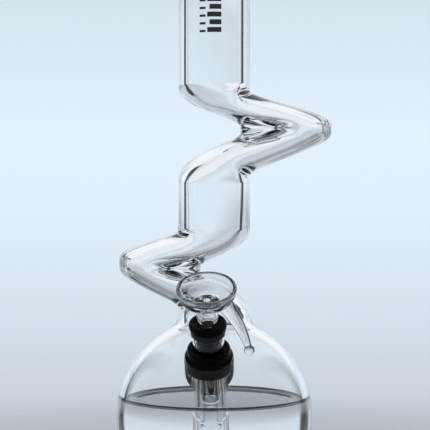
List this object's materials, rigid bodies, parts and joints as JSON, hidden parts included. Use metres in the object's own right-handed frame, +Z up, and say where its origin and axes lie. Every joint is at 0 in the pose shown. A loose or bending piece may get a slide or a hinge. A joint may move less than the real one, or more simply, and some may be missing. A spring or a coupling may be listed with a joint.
{
  "type": "glass water pipe",
  "caption": "Clear glass water pipe with a round bubble base, a tube folded into two kinks, a slanted downstem and a pull-out slide bowl with a horn handle.",
  "frame": {"origin": "centre of the flat foot, on the surface it stands on", "axes": "+Z up along the main tube, +X towards the upper kink's tip, -Y towards the stem and bowl (the front)"},
  "size_m": [0.1145, 0.1305, 0.3048],
  "materials": {
    "clear_glass": "clear, fire-polished",
    "slide_glass": "clear, fire-polished",
    "black_rubber": "smooth satin",
    "dark_ink": "baked-on print",
    "water": "still water"
  },
  "bodies": {
    "glass_body": {"base_bubble": "clear_glass", "neck_root": "clear_glass", "lower_kink": "clear_glass", "middle_tube": "clear_glass", "upper_kink": "clear_glass", "top_tube": "clear_glass", "mouth_lip": "clear_glass", "stem_collar": "clear_glass", "printed_mark": "dark_ink", "water_fill": "water"},
    "stem_grommet": {"stem_grommet": "black_rubber"},
    "downstem": {"downstem_tube": "slide_glass", "downstem_lip": "slide_glass"},
    "slide_grommet": {"slide_grommet": "black_rubber"},
    "slide": {"bowl_dish": "slide_glass", "bowl_bell": "slide_glass", "bowl_stem": "slide_glass", "bowl_handle": "slide_glass", "handle_ball": "slide_glass"}
  },
  "joints": [
    {"name": "stem_grommet_twist", "type": "hinge", "parent": "glass_body", "child": "stem_grommet", "pos_m": [0, -0.0476, 0.0841], "axis": [0, -0.5, 0.866], "continuous": true},
    {"name": "downstem_pull", "type": "slide", "parent": "stem_grommet", "child": "downstem", "axis": [0, -0.5, 0.866], "range_m": [0, 0.078]},
    {"name": "slide_twist", "type": "hinge", "parent": "downstem", "child": "slide_grommet", "pos_m": [0, -0.0476, 0.0841], "axis": [0, -0.5, 0.866], "continuous": true},
    {"name": "slide_pull", "type": "slide", "parent": "slide_grommet", "child": "slide", "axis": [0, -0.5, 0.866], "range_m": [0, 0.064]}
  ]
}
